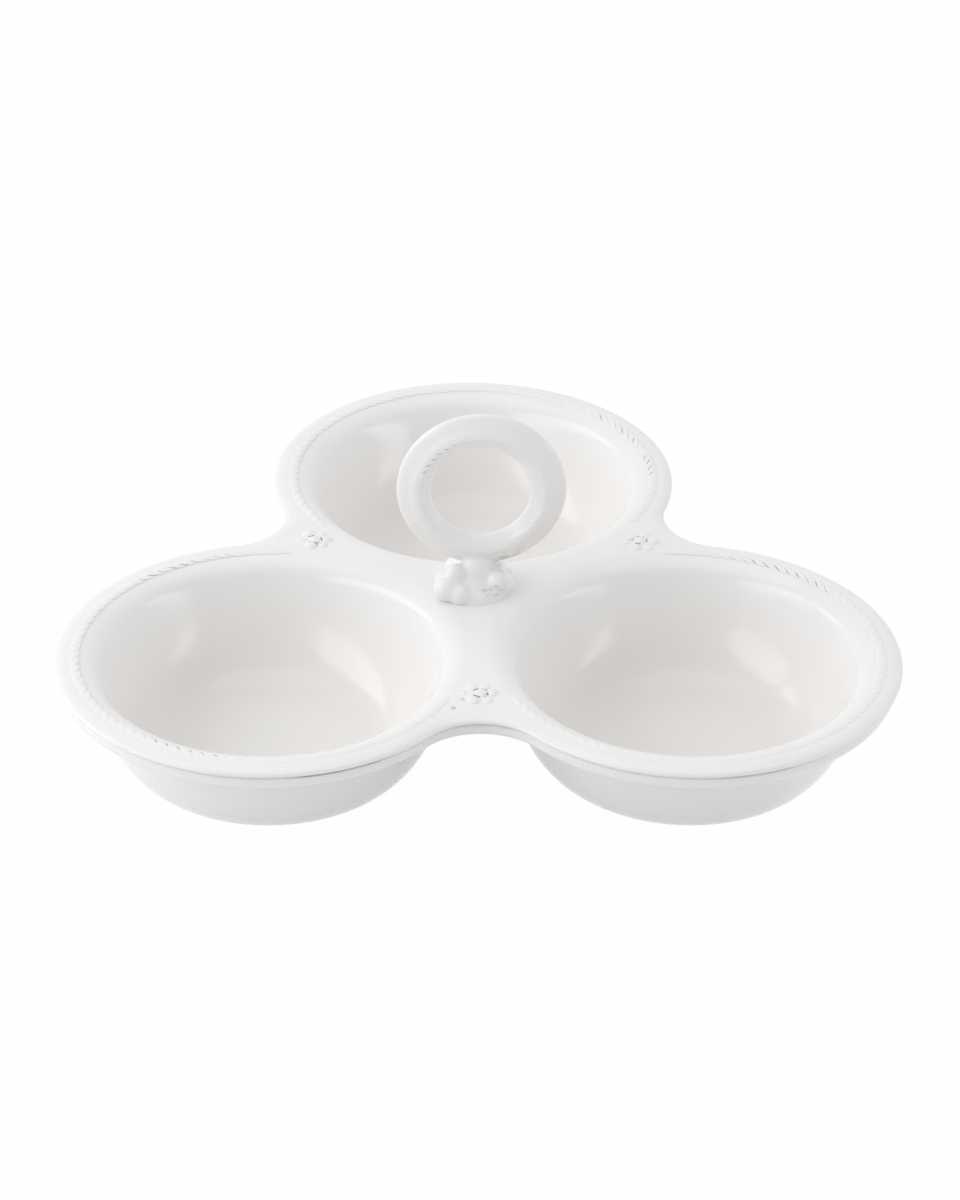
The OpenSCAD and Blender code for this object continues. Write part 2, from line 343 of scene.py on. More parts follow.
def bowl_third():
    """The back bowl with its rim, its side towards the web, and the notch at its right."""
    well = well_line()
    rim = [(CREST_R + x, z) for x, z in rim_line()]
    wall = wall_line()
    lobe = draw_profile("lobe", well + rim + wall)
    mark_rim(lobe, out_of_lobe)
    mark_well_shade(lobe, len(well))
    sweep(lobe, 90 - LOBE_HALF, 2 * LOBE_HALF, 116, (0, BOWL_AT))
    inner = draw_profile("web_side", well)
    mark_rim(inner, out_of_lobe)
    mark_well_shade(inner, len(well))
    sweep(inner, 90 + LOBE_HALF, 360 - 2 * LOBE_HALF, 72, (0, BOWL_AT))
    under = draw_profile("web_under", [(CREST_R - ROOT_IN, WEB_Z), rim[-1]] + wall)
    mark_rim(under, out_of_lobe)
    sweep(under, 90 + LOBE_HALF, 360 - 2 * LOBE_HALF, 72, (0, BOWL_AT))
    notch_line = [(0, RIM_Z)] + rim_line() + [(-ROOT_IN, WEB_Z)]
    notch = draw_profile("notch", [(NOTCH_R - x, z) for x, z in notch_line])
    mark_rim(notch, out_of_notch)
    a = math.radians(30)
    middle = (NOTCH_AT * math.cos(a), NOTCH_AT * math.sin(a))
    sweep(notch, 210 - NOTCH_HALF, 2 * NOTCH_HALF, 46, middle)
    return lute([lobe, inner, under, notch], "bowl_third")


def close_web(piece, height):
    """Fills the open web at a height with one flat face."""
    work_on(piece)
    bpy.ops.mesh.select_all(action="DESELECT")
    clay = bmesh.from_edit_mesh(piece.data)
    for edge in clay.edges:
        if edge.is_boundary and all(abs(v.co.z - height) < MERGE for v in edge.verts):
            edge.select_set(True)
    bmesh.update_edit_mesh(piece.data)
    bpy.ops.mesh.edge_face_add()
    bpy.ops.object.mode_set(mode="OBJECT")


def make_dish():
    """Three thirds luted together, with the web closed above and below."""
    third = bowl_third()
    thirds = [third] + [copy_turned(third, "third_" + side, a) for side, a in SIDE_TURNS.items()]
    dish = lute(thirds, "dish_body")
    close_web(dish, RIM_Z)
    close_web(dish, WEB_Z)
    dish = lute([dish], "dish_body")
    shade(dish, 50)
    return dish


# Ropes of three strands. The circle that one starts from has points at 6, 18, 30 degrees and on.
STRAND_SPAN = 120
HOLLOW_AT = 66
STEPS_PER_TURN = 24
TIP_AT = 0.98


def press_hollows(rope, dip):
    """Draws in the circle that a rope starts from, at the three hollows between its strands."""
    for off, share in ((0, dip), (12, dip * 0.55 + 0.45), (24, dip * 0.18 + 0.82)):
        def in_hollow(co):
            a = math.degrees(math.atan2(co.y, co.x)) % STRAND_SPAN
            return abs(abs(a - HOLLOW_AT) - off) < 2
        grasp(rope, in_hollow)
        bpy.ops.transform.resize(value=(share, share, 1), center_override=(0, 0, 0))


def thin_out(rope, end, way, lead, tail):
    """Lengthens one end of an upright rope by its tail, twisting on and thinning to nothing."""
    steps = round(STEPS_PER_TURN * tail / lead)
    grasp(rope, lambda co: abs(co.z - end) < MERGE)
    size = 1
    for i in range(steps):
        bpy.ops.mesh.extrude_region_move(
            TRANSFORM_OT_translate={"value": (0, 0, way * tail / steps)}
        )
        thinner = math.sqrt(1 - (TIP_AT * (i + 1) / steps) ** 2)
        share = thinner / size
        size = thinner
        bpy.ops.transform.resize(value=(share, share, 1), center_override=(0, 0, 0))
        turn(way * 360 * tail / steps / lead)
    bpy.ops.mesh.edge_face_add()


def straight_rope(name, length, radius, lead, dip, tail):
    """A twisted rope along X that thins out at its ends. One turn of a strand takes the lead."""
    lay_down()
    bpy.ops.mesh.primitive_circle_add(
        vertices=30, radius=radius, fill_type="NOTHING", location=(0, 0, 0)
    )
    rope = bpy.context.object
    rope.name = name
    bpy.ops.object.mode_set(mode="EDIT")
    press_hollows(rope, dip)
    bpy.ops.object.mode_set(mode="OBJECT")
    turns = round((length - 2 * tail) / lead)
    twist = rope.modifiers.new("twist", "SCREW")
    twist.axis = "Z"
    twist.angle = math.tau
    twist.screw_offset = (length - 2 * tail) / turns
    twist.iterations = turns
    twist.steps = STEPS_PER_TURN
    twist.render_steps = STEPS_PER_TURN
    apply_all(rope)
    layer = rope.data.attributes.new("hollow", "FLOAT", "POINT")
    for point, mark in zip(rope.data.vertices, layer.data):
        out = math.hypot(point.co.x, point.co.y) / radius
        mark.value = min(1, max(0, (1 - out) / (1 - dip)))
    low = min(v.co.z for v in rope.data.vertices)
    high = max(v.co.z for v in rope.data.vertices)
    work_on(rope)
    bpy.ops.mesh.remove_doubles(threshold=MERGE)
    thin_out(rope, low, -1, lead, tail)
    thin_out(rope, high, 1, lead, tail)
    bpy.ops.mesh.select_all(action="SELECT")
    bpy.ops.mesh.normals_make_consistent(inside=False)
    bpy.ops.transform.translate(value=(0, 0, tail - low))
    turn(90, "Y")
    bpy.ops.object.mode_set(mode="OBJECT")
    return rope


def coil(rope, path_r, span, flat):
    """Bends a rope along X to an arc about Z with its middle towards +Y, and flattens it."""
    thick = max(point.co.y for point in rope.data.vertices)
    bend = rope.modifiers.new("bend", "SIMPLE_DEFORM")
    bend.deform_method = "BEND"
    bend.deform_axis = "Z"
    bend.angle = math.radians(span)
    apply_all(rope)
    for point, mark in zip(rope.data.vertices, rope.data.attributes["hollow"].data):
        inner = (path_r - math.hypot(point.co.x, point.co.y - path_r)) / thick
        mark.value *= min(1, max(0.1, 0.72 + inner))
    work_on(rope)
    bpy.ops.transform.translate(value=(0, -path_r, 0))
    turn(180 - span / 2)
    bpy.ops.transform.resize(value=(1, 1, flat), center_override=(0, 0, 0))
    bpy.ops.object.mode_set(mode="OBJECT")
    return rope


def make_rim_ropes():
    """One rope let into the lip round each bowl, by the side it lies on."""
    path_r = CREST_R - ROPE_IN
    span = 2 * ROPE_HALF
    length = path_r * math.radians(span)
    back = straight_rope("back_rope", length, ROPE_R, ROPE_LEAD, ROPE_DIP, ROPE_TAIL)
    coil(back, path_r, span, ROPE_FLAT)
    work_on(back)
    height = RIM_Z - lip_drop(ROPE_IN) - ROPE_SINK
    bpy.ops.transform.translate(value=(0, BOWL_AT, height))
    by_side = {"back": back}
    for side, a in SIDE_TURNS.items():
        by_side[side] = copy_turned(back, side + "_rope", a)
    for rope in by_side.values():
        shade(rope, 60)
    return by_side


def stand_up(piece):
    """Stands what is drawn flat about Z on the collar, as the ring stands, with its lean."""
    work_on(piece)
    turn(90, "X")
    bpy.ops.transform.translate(value=(0, 0, COLLAR_Z + STEM_H + RING_R))
    turn(RING_LEAN, "Y", (0, 0, COLLAR_Z))
    bpy.ops.object.mode_set(mode="OBJECT")


def make_ring_rope():
    """One rope on the front of the ring and one on its back."""
    length = RING_RIDGE_R * math.radians(RING_ROPE_SPAN)
    front = straight_rope(
        "ring_rope", length, RING_ROPE_R, RING_ROPE_LEAD, RING_ROPE_DIP, RING_ROPE_TAIL)
    coil(front, RING_RIDGE_R, RING_ROPE_SPAN, RING_ROPE_FLAT)
    pick_up(front)
    bpy.ops.object.duplicate()
    rear = bpy.context.object
    lift = RING_T / 2 - RING_ROPE_SINK
    work_on(front)
    bpy.ops.transform.translate(value=(0, 0, lift))
    work_on(rear)
    bpy.ops.transform.translate(value=(0, 0, -lift))
    bpy.ops.object.mode_set(mode="OBJECT")
    rope = lute([front, rear], "ring_rope")
    stand_up(rope)
    shade(rope, 60)
    return rope


# Berries and handle
# Berries of a cluster round its middle one: bearing, distance from the middle, size
CLUSTER_BERRIES = (
    (12, 0.0050, 1.05), (66, 0.0056, 0.86), (124, 0.0050, 1.0), (178, 0.0058, 0.84),
    (242, 0.0050, 1.08), (306, 0.0055, 0.9),
)
CLUSTER_VOXEL = 0.0003


def add_berry(radius, place, squash=1.0):
    """Adds a ball to the open mesh."""
    bpy.ops.mesh.select_all(action="DESELECT")
    bpy.ops.mesh.primitive_uv_sphere_add(
        segments=32, ring_count=20, radius=radius, location=place
    )
    if squash != 1:
        bpy.ops.transform.resize(value=(1, 1, squash), center_override=place)


def make_cluster():
    """Six berries round a seventh on a low pad, pressed into the web at the front notch."""
    lay_down()
    centre = Vector((0, -CLUSTER_AT, RIM_Z - 0.0004))
    bpy.ops.mesh.primitive_uv_sphere_add(
        segments=64, ring_count=24, radius=PAD_R, location=centre, enter_editmode=True
    )
    cluster = bpy.context.object
    cluster.name = "front_berries"
    bpy.ops.transform.resize(value=(1, 1, PAD_SQUASH), center_override=centre)
    add_berry(BERRY_R * 1.05, centre + Vector((0.0005, 0.0002, -0.0002)), BERRY_SQUASH)
    for bearing, out, size in CLUSTER_BERRIES:
        a = math.radians(bearing)
        place = centre + Vector((out * math.cos(a), out * math.sin(a), -0.0006))
        add_berry(BERRY_R * size, place, BERRY_SQUASH)
    bpy.ops.object.mode_set(mode="OBJECT")
    pick_up(cluster)
    bpy.ops.object.origin_set(type="ORIGIN_CURSOR")
    knead(cluster, CLUSTER_VOXEL, passes=9)
    mark_hollows(cluster, passes=26, depth=0.00006)
    shade(cluster, 180)
    return cluster


def collar_line():
    """Half the outline of the collar, from a little inside the web up into the stem."""
    foot_top = RIM_Z + COLLAR_FOOT_H
    foot_r = COLLAR_FOOT_R - 0.0010
    base = [
        (0, RIM_Z - 0.0012), (foot_r + 0.0012, RIM_Z - 0.0012), (foot_r + 0.0012, RIM_Z + 0.0001),
        (foot_r + 0.0003, RIM_Z + 0.0005), (foot_r - 0.0001, RIM_Z + 0.0012),
        (foot_r, foot_top - 0.0010), (foot_r - 0.0008, foot_top),
    ]
    waist = (foot_r - 0.0018, foot_top + 0.0002)
    side = bezier(
        waist, (0.0104, foot_top + 0.0016), (0.0074, COLLAR_Z - 0.0035), (0.0070, COLLAR_Z), 8)
    stem = [(0.0064, COLLAR_Z + 0.0018), (0.0052, COLLAR_Z + 0.0050), (0, COLLAR_Z + 0.0060)]
    return base + [waist] + side + stem


# Berries round the collar: place over the web and radius, the front ones as the photograph shows
COLLAR_BERRIES = (
    ((-0.0124, -0.0070, 0.0038), 0.0055), ((-0.0070, -0.0096, 0.0026), 0.0046),
    ((-0.0130, -0.0006, 0.0040), 0.0046), ((-0.0088, -0.0042, 0.0100), 0.0040),
    ((-0.0094, -0.0050, 0.0066), 0.0040), ((0.0086, -0.0056, 0.0070), 0.0047),
    ((0.0106, -0.0034, 0.0046), 0.0045), ((0.0112, 0.0030, 0.0044), 0.0042),
    ((0.0080, 0.0096, 0.0046), 0.0048), ((0.0000, 0.0120, 0.0044), 0.0050),
    ((-0.0086, 0.0092, 0.0046), 0.0048), ((0.0076, 0.0012, 0.0094), 0.0036),
    ((0.0044, 0.0068, 0.0092), 0.0038), ((-0.0044, 0.0066, 0.0092), 0.0038),
)
HANDLE_VOXEL = 0.0005
# Widths, from the tube's middle in, over which the ring's inner side is moved in steps
INNER_STEPS = (0, 0.0015, 0.0030, 0.0045)
INNER_SHIFT = (-0.00010, -0.00020, 0)
# Distances from the ridge past which the ring is thinned in steps, so that its flanks fall away
FLANK_STEPS = (0.0015, 0.0027, 0.0039, 0.0051)
FLANK_THINNING = 0.89


def make_collar():
    """The mound that the ring stands on, with its berries kneaded in."""
    collar = draw_profile("collar", collar_line())
    sweep(collar, 0, 360, 72)
    collar = lute([collar], "collar")
    work_on(collar)
    for place, radius in COLLAR_BERRIES:
        add_berry(radius, Vector(place) + Vector((0, 0, RIM_Z)))
    bpy.ops.object.mode_set(mode="OBJECT")
    knead(collar, HANDLE_VOXEL, passes=48)
    return collar


def make_ring():
    """The upright ring, a ridge round each face and its inner side a little off centre."""
    lay_down()
    mid_r = RING_R - RING_W / 2
    bpy.ops.mesh.primitive_torus_add(
        major_segments=160, minor_segments=48, major_radius=mid_r,
        minor_radius=RING_W / 2, location=(0, 0, 0)
    )
    ring = bpy.context.object
    work_on(ring)
    bpy.ops.transform.resize(value=(1, 1, RING_T / RING_W), center_override=(0, 0, 0))
    for inset in INNER_STEPS:
        grasp(ring, lambda co: math.hypot(co.x, co.y) < mid_r - inset)
        bpy.ops.transform.translate(value=INNER_SHIFT)
    for flank in FLANK_STEPS:
        grasp(ring, lambda co: abs(math.hypot(co.x, co.y) - RING_RIDGE_R) > flank)
        bpy.ops.transform.resize(value=(1, 1, FLANK_THINNING), center_override=(0, 0, 0))
    stand_up(ring)
    return ring


def make_handle():
    """Ring, stem, collar and the berries round the collar, under one glaze."""
    collar = make_collar()
    ring = make_ring()
    lay_down()
    collar.select_set(True)
    ring.select_set(True)
    bpy.context.view_layer.objects.active = collar
    bpy.ops.object.join()
    handle = bpy.context.object
    handle.name = "handle"
    knead(handle, HANDLE_VOXEL, passes=10)
    mark_hollows(handle, passes=30, depth=0.0004)
    shade(handle, 180)
    return handle


def make_foot():
    """A foot ring with its edges worn round, under the back bowl."""
    inner = FOOT_R - FOOT_W
    line = [
        (inner, 0.0024), (inner, 0.0009), (inner + 0.0002, 0.0004), (inner + 0.0006, 0.0001),
        (inner + 0.0012, 0), (inner + 0.0035, 0), (FOOT_R - 0.0012, 0),
        (FOOT_R - 0.0006, 0.0001), (FOOT_R - 0.0002, 0.0004), (FOOT_R, 0.0009),
        (FOOT_R, 0.0024), (inner, 0.0024),
    ]
    foot = draw_profile("back_foot", line)
    sweep(foot, 0, 360, 120, (0, BOWL_AT))
    foot = lute([foot], "back_foot")
    shade(foot, 60)
    return foot


# Finishes
class Finish:
    """A material and the nodes that its colour, gloss and relief come from."""

    def __init__(self, name, colour, roughness):
        self.material = bpy.data.materials.new(name)
        self.material.use_nodes = True
        self.material.diffuse_color = (*colour, 1)
        self.tree = self.material.node_tree
        self.shader = self.tree.nodes["Principled BSDF"]
        self.shader.inputs["Base Color"].default_value = (*colour, 1)
        self.shader.inputs["Roughness"].default_value = roughness
        self.places = self.node("ShaderNodeTexCoord").outputs["Object"]

    def node(self, kind, **settings):
        """A new node with its settings."""
        made = self.tree.nodes.new(kind)
        for key, value in settings.items():
            setattr(made, key, value)
        return made

    def wire(self, source, target):
        """Gives a socket another node's output, or a plain value."""
        if hasattr(source, "is_output"):
            self.tree.links.new(source, target)
        else:
            target.default_value = source

    def sum(self, kind, a, b=0.0, c=0.0, clamp=False):
        """The result of one step of arithmetic."""
        made = self.node("ShaderNodeMath", operation=kind, use_clamp=clamp)
        for socket, value in zip(made.inputs, (a, b, c)):
            self.wire(value, socket)
        return made.outputs[0]

    def ramp(self, value, low, high, to_low=0.0, to_high=1.0):
        """Passes softly from one value to another while the input goes from low to high."""
        made = self.node("ShaderNodeMapRange", interpolation_type="SMOOTHSTEP")
        made.clamp = True
        for socket, given in zip(made.inputs, (value, low, high, to_low, to_high)):
            self.wire(given, socket)
        return made.outputs[0]

    def noise(self, size, detail=2.0, roughness=0.5, stretch=(1, 1, 1)):
        """Cloudy variation with patches of about the given size in metres."""
        made = self.node("ShaderNodeTexNoise")
        if stretch != (1, 1, 1):
            moved = self.node("ShaderNodeMapping")
            moved.inputs["Scale"].default_value = stretch
            self.wire(self.places, moved.inputs["Vector"])
            self.wire(moved.outputs[0], made.inputs["Vector"])
        else:
            self.wire(self.places, made.inputs["Vector"])
        made.inputs["Scale"].default_value = 1 / size
        made.inputs["Detail"].default_value = detail
        made.inputs["Roughness"].default_value = roughness
        return made.outputs["Fac"]

    def stored(self, name):
        """What a mesh has stored at each point under the name."""
        return self.node("ShaderNodeAttribute", attribute_name=name).outputs["Fac"]

    def near(self, spots):
        """1 close to any of the spots, each given as place and radius, fading to 0."""
        total = None
        for place, radius in spots:
            gap = self.node("ShaderNodeVectorMath", operation="DISTANCE")
            self.wire(self.places, gap.inputs[0])
            gap.inputs[1].default_value = place
            here = self.ramp(gap.outputs["Value"], radius, radius * 0.45)
            total = here if total is None else self.sum("MAXIMUM", total, here)
        return total

    def mix(self, share, a, b):
        """Colour a, with its share of colour b."""
        made = self.node("ShaderNodeMix", data_type="RGBA")
        for socket, value in zip((made.inputs[0], made.inputs[6], made.inputs[7]), (share, a, b)):
            self.wire(value, socket)
        return made.outputs[2]

    def relief(self, height, depth, before=None):
        """Fine unevenness of the skin, up to a depth in metres."""
        made = self.node("ShaderNodeBump")
        made.inputs["Distance"].default_value = depth
        self.wire(height, made.inputs["Height"])
        if before is not None:
            self.wire(before, made.inputs["Normal"])
        return made.outputs[0]

    def dress(self, *pieces):
        """Gives the material to the pieces."""
        for piece in pieces:
            piece.data.materials.clear()
            piece.data.materials.append(self.material)


GLAZE = (0.845, 0.838, 0.826)
GLAZE_LIGHT = (0.862, 0.852, 0.838)
# Painted shade for the hollows of ropes, berries and handle
GLAZE_HOLLOW_SHADE = (0.800, 0.785, 0.760)
# Painted shade: darker and warmer deeper in the bowls
GLAZE_WELL_SHADE = (0.842, 0.822, 0.794)
# Brown of worn glaze, also painted as shade in the groove under the roll and on the ring's lower right
STAIN_AND_SHADE = (0.250, 0.215, 0.180)
CLAY = (0.62, 0.55, 0.46)
CLAY_DARK = (0.60, 0.53, 0.44)
CLAY_LIGHT = (0.68, 0.62, 0.54)
CLAY_SPECK = (0.36, 0.28, 0.21)

# Where the photograph shows worn glaze on the dish, and in the groove under the roll painted shade as
# well: place and radius
GROOVE_DARK_WEAR_AND_SHADE = ((-0.0535, -0.1258, 0.0465), 0.024)
GROOVE_FAINT_WEAR_AND_SHADE = ((0.104, -0.129, 0.0465), 0.022)
APRON_SPOTS = (
    ((-0.080, -0.131, 0.0415), 0.010), ((-0.044, -0.122, 0.0415), 0.006),
    ((0.030, 0.173, 0.0415), 0.014),
)
SPECKS = (((-0.0106, -0.0886, RIM_Z), 0.0015), ((-0.0068, -0.0826, RIM_Z), 0.0012))


def glaze_base(finish, glossy, dull):
    """Slow changes of tone and gloss that a thick hand-dipped glaze has."""
    cloud = finish.noise(0.055, 2.0)
    tone = finish.mix(finish.ramp(cloud, 0.35, 0.70), (*GLAZE, 1), (*GLAZE_LIGHT, 1))
    drift = finish.noise(0.018, 3.0)
    gloss = finish.ramp(drift, 0.3, 0.7, glossy, dull)
    finish.wire(gloss, finish.shader.inputs["Roughness"])
    waves = finish.relief(finish.noise(0.020, 1.0), 0.00016)
    skin = finish.relief(finish.noise(0.0022, 2.0), 0.000010, waves)
    return tone, skin


def dish_glaze():
    """Glossy glaze, with painted shade deeper in the bowls, and worn brown in parts of the rim's
    grooves, with painted shade in the groove under the roll as well.
    """
    finish = Finish("dish_glaze", GLAZE, 0.15)
    tone, skin = glaze_base(finish, 0.13, 0.17)
    roll = finish.stored("groove_wear_and_shade")
    apron = finish.stored("apron_line")
    grain = finish.noise(0.0035, 4.0, 0.65)
    patch = finish.noise(0.030, 2.0)
    dark = finish.near([GROOVE_DARK_WEAR_AND_SHADE])
    faint = finish.near([GROOVE_FAINT_WEAR_AND_SHADE])
    # The groove under the roll: brown where the glaze wore, and darker still as painted shade in the
    # crease
    line = finish.ramp(finish.sum("ADD", roll, finish.sum("MULTIPLY", grain, 0.5)), 0.70, 1.10)
    amount = finish.sum("MULTIPLY_ADD", dark, 0.66, finish.sum("MULTIPLY", faint, 0.30))
    broken = finish.ramp(patch, 0.30, 0.62, 0.75, 1.0)
    groove_wear_and_shade_mark = finish.sum("MULTIPLY", finish.sum("MULTIPLY", line, amount), broken)
    worn = finish.ramp(finish.sum("ADD", apron, finish.sum("MULTIPLY", grain, 0.6)), 1.05, 1.35)
    spot = finish.near(APRON_SPOTS)
    apron_stain = finish.sum("MULTIPLY", finish.sum("MULTIPLY", worn, spot), 0.6)
    speck = finish.sum("MULTIPLY", finish.near(SPECKS), finish.ramp(grain, 0.38, 0.58))
    stain = finish.sum("ADD", groove_wear_and_shade_mark, apron_stain, clamp=True)
    stain = finish.sum("MAXIMUM", stain, finish.sum("MULTIPLY", speck, 0.55))
    # Painted shade: the tone goes darker and warmer deeper in each bowl, broken into patches
    well_shade_share = finish.sum("MULTIPLY", finish.stored("painted_well_shade"), finish.ramp(patch, 0.2, 0.6, 0.7, 1.0))
    tone = finish.mix(well_shade_share, tone, (*GLAZE_WELL_SHADE, 1))
    finish.wire(finish.mix(stain, tone, (*STAIN_AND_SHADE, 1)), finish.shader.inputs["Base Color"])
    finish.wire(skin, finish.shader.inputs["Normal"])
    return finish


def relief_glaze(name, spots, floor, reach, worn=()):
    """Glaze over ropes and berries, with brown flecks where it pulled away from the hollows, and
    painted shade darkening the hollows.

    Near the spots flecks are likelier by the reach, and elsewhere the floor's share of them is left.
    Close to the places in worn the glaze is rubbed thin as well, except that the places at the ring's
    lower right, where it meets the collar, are painted shade.
    """
    finish = Finish(name, GLAZE, 0.23)
    tone, skin = glaze_base(finish, 0.20, 0.27)
    hollow = finish.stored("hollow")
    grain = finish.noise(0.0016, 3.0, 0.6)
    patch = finish.noise(0.0065, 2.0)
    depth = finish.sum("MULTIPLY_ADD", grain, 0.5, hollow)
    deep = finish.ramp(depth, 0.80, 1.12)
    likely = finish.sum(
        "MULTIPLY_ADD", finish.near(spots), reach, finish.sum("MULTIPLY", patch, 0.6))
    chance = finish.ramp(likely, 0.52, 0.74, floor, 1.0)
    stain = finish.sum("MULTIPLY", deep, chance, clamp=True)
    # Near the worn places the glaze goes brown in streaks; at the ring's lower right this is painted
    # shade
    if worn:
        streak = finish.noise(0.0018, 1.0, 0.5, (0.35, 0.35, 1.4))
        rubbed_and_shade = finish.ramp(finish.sum("MULTIPLY_ADD", streak, 0.8, patch), 0.82, 1.10)
        rubbed_and_shade = finish.sum("MULTIPLY", finish.sum("MULTIPLY", rubbed_and_shade, finish.near(worn)), 0.36)
        stain = finish.sum("MAXIMUM", stain, rubbed_and_shade)
    # Painted shade: the hollows go darker and warmer the deeper they lie
    soft = finish.sum("MULTIPLY", finish.ramp(hollow, 0.3, 1.0), 0.22)
    base = finish.mix(soft, tone, (*GLAZE_HOLLOW_SHADE, 1))
    finish.wire(finish.mix(stain, base, (*STAIN_AND_SHADE, 1)), finish.shader.inputs["Base Color"])
    finish.wire(skin, finish.shader.inputs["Normal"])
    return finish


def bare_clay():
    """Matte fired clay with dark specks, where the foot rings were wiped free of glaze."""
    finish = Finish("foot_clay", CLAY, 0.82)
    cloud = finish.ramp(finish.noise(0.012, 3.0), 0.3, 0.7)
    tone = finish.mix(cloud, (*CLAY_DARK, 1), (*CLAY_LIGHT, 1))
    speck = finish.ramp(finish.noise(0.0009, 2.0, 0.7), 0.62, 0.72)
    tone = finish.mix(finish.sum("MULTIPLY", speck, 0.7), tone, (*CLAY_SPECK, 1))
    finish.wire(tone, finish.shader.inputs["Base Color"])
    rough = finish.ramp(finish.noise(0.004, 2.0), 0.3, 0.7, 0.74, 0.90)
    finish.wire(rough, finish.shader.inputs["Roughness"])
    coarse = finish.relief(finish.noise(0.0011, 4.0, 0.7), 0.00012)
    finish.wire(coarse, finish.shader.inputs["Normal"])
    return finish


# The pieces
dish = make_dish()
ropes = make_rim_ropes()
ring_rope = make_ring_rope()
front_berries = make_cluster()
right_berries = copy_turned(front_berries, "right_berries", 120)
left_berries = copy_turned(front_berries, "left_berries", 240)
handle = make_handle()
nudge(front_berries, -0.0004, -0.0020)
nudge(right_berries, 0.0020, -0.0012)
back_foot = make_foot()
left_foot = copy_turned(back_foot, "left_foot", 120)
right_foot = copy_turned(back_foot, "right_foot", 240)

# Where the photograph shows flecks in the relief: place and radius
rim_spots = [
    ((0.067, 0.132, RIM_Z), 0.026), ((0.076, 0.101, RIM_Z), 0.014),
    ((-0.120, 0.018, RIM_Z), 0.034), ((0.125, 0.015, RIM_Z), 0.036),
    ((-0.112, -0.115, RIM_Z), 0.026),
]
cluster_spots = [
    ((-0.002, -0.080, RIM_Z), 0.014), ((-0.067, 0.038, RIM_Z), 0.010),
    ((0.070, 0.037, RIM_Z), 0.011),
]
ring_spots = [((-0.0173, -0.0046, 0.1140), 0.0150)]
collar_spots = [((0.0060, -0.0100, 0.0545), 0.0085)]
# Glaze rubbed thin at the front of the collar, and painted shade on the ring's lower right where it
# meets the collar: place and radius
collar_wear_and_ring_shade = [
    ((0.0072, -0.0098, 0.0556), 0.0034), ((0.0030, -0.0106, 0.0552), 0.0026),
    ((0.0180, -0.0010, 0.0676), 0.0060), ((0.0100, -0.0020, 0.0645), 0.0060),
]

dish_glaze().dress(dish)
relief_glaze("rope_glaze", rim_spots, floor=0.02, reach=0.38).dress(*ropes.values())
relief_glaze("berry_glaze", cluster_spots, floor=0.03, reach=0.40).dress(
    front_berries, left_berries, right_berries)
relief_glaze("ring_rope_glaze", ring_spots, floor=0.0, reach=0.46).dress(ring_rope)
relief_glaze("handle_glaze", collar_spots, floor=0.02, reach=0.36, worn=collar_wear_and_ring_shade).dress(handle)
bare_clay().dress(back_foot, left_foot, right_foot)

# The parts of the solids that the pieces take the place of, hidden from view
body_nodes = [
    "left_bowl", "right_bowl", "back_bowl", "centre_web", "left_rim", "right_rim",
    "back_rim", "front_notch_rim", "left_notch_rim", "right_notch_rim",
]
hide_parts(*body_nodes)
for side, rope in ropes.items():
    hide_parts(side + "_rope_edge")
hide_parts("handle_ropes")
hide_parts("front_berries")
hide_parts("left_berries")
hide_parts("right_berries")
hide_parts("handle_ring", "handle_collar", "collar_berries")
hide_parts("back_foot_ring")
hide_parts("left_foot_ring")
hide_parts("right_foot_ring")

relief = [*ropes.values(), ring_rope, front_berries, left_berries, right_berries]
for piece in (dish, handle, *relief, back_foot, left_foot, right_foot):
    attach(piece, "root")


# Camera at the photograph's viewing angle, found by fitting it to the dish's outline
AIM = Vector((0, 0, 0.030))
CAMERA_YAW = -1.335
CAMERA_RISE = 31.98
CAMERA_ROLL = 0.758
CAMERA_AWAY = 1.4617
LENS_MM = 107.304
LENS_SHIFT = (0.00308, 0.02617)


def place_camera():
    """Sets the camera on its sight line to the aim, with the photograph's small roll."""
    yaw = math.radians(CAMERA_YAW)
    rise = math.radians(CAMERA_RISE)
    roll = math.radians(CAMERA_ROLL)
    back = Vector((
        math.sin(yaw) * math.cos(rise), -math.cos(yaw) * math.cos(rise), math.sin(rise)))
    level = Vector((math.cos(yaw), math.sin(yaw), 0))
    over = back.cross(level)
    right = level * math.cos(roll) + over * math.sin(roll)
    up = over * math.cos(roll) - level * math.sin(roll)
    lens = bpy.data.cameras.new("photo_camera")
    lens.sensor_width = 36
    lens.lens = LENS_MM
    lens.shift_x, lens.shift_y = LENS_SHIFT
    lens.clip_start = 0.05
    lens.clip_end = 50
    camera = bpy.data.objects.new("photo_camera", lens)
    bpy.context.scene.collection.objects.link(camera)
    place = Matrix((right, up, back)).transposed().to_4x4()
    place.translation = AIM + back * CAMERA_AWAY
    camera.matrix_world = place
    bpy.context.scene.camera = camera


# Soft studio light
# Strength of the even light from each side of the room: left, right, front, back, above
SIDE_LIGHT = ((-0.94, 0, 0), (0.84, 0, 0), (0, -0.26, 0), (0, 0.78, 0), (0, 0, 0.22))
LAMP_COLOUR = (0.985, 0.985, 1.0)
ROOM_COLOUR = (0.98, 0.983, 1.0)
FLOOR_COLOUR = (0.88, 0.88, 0.88)
FLOOR_WHITE = 0.985


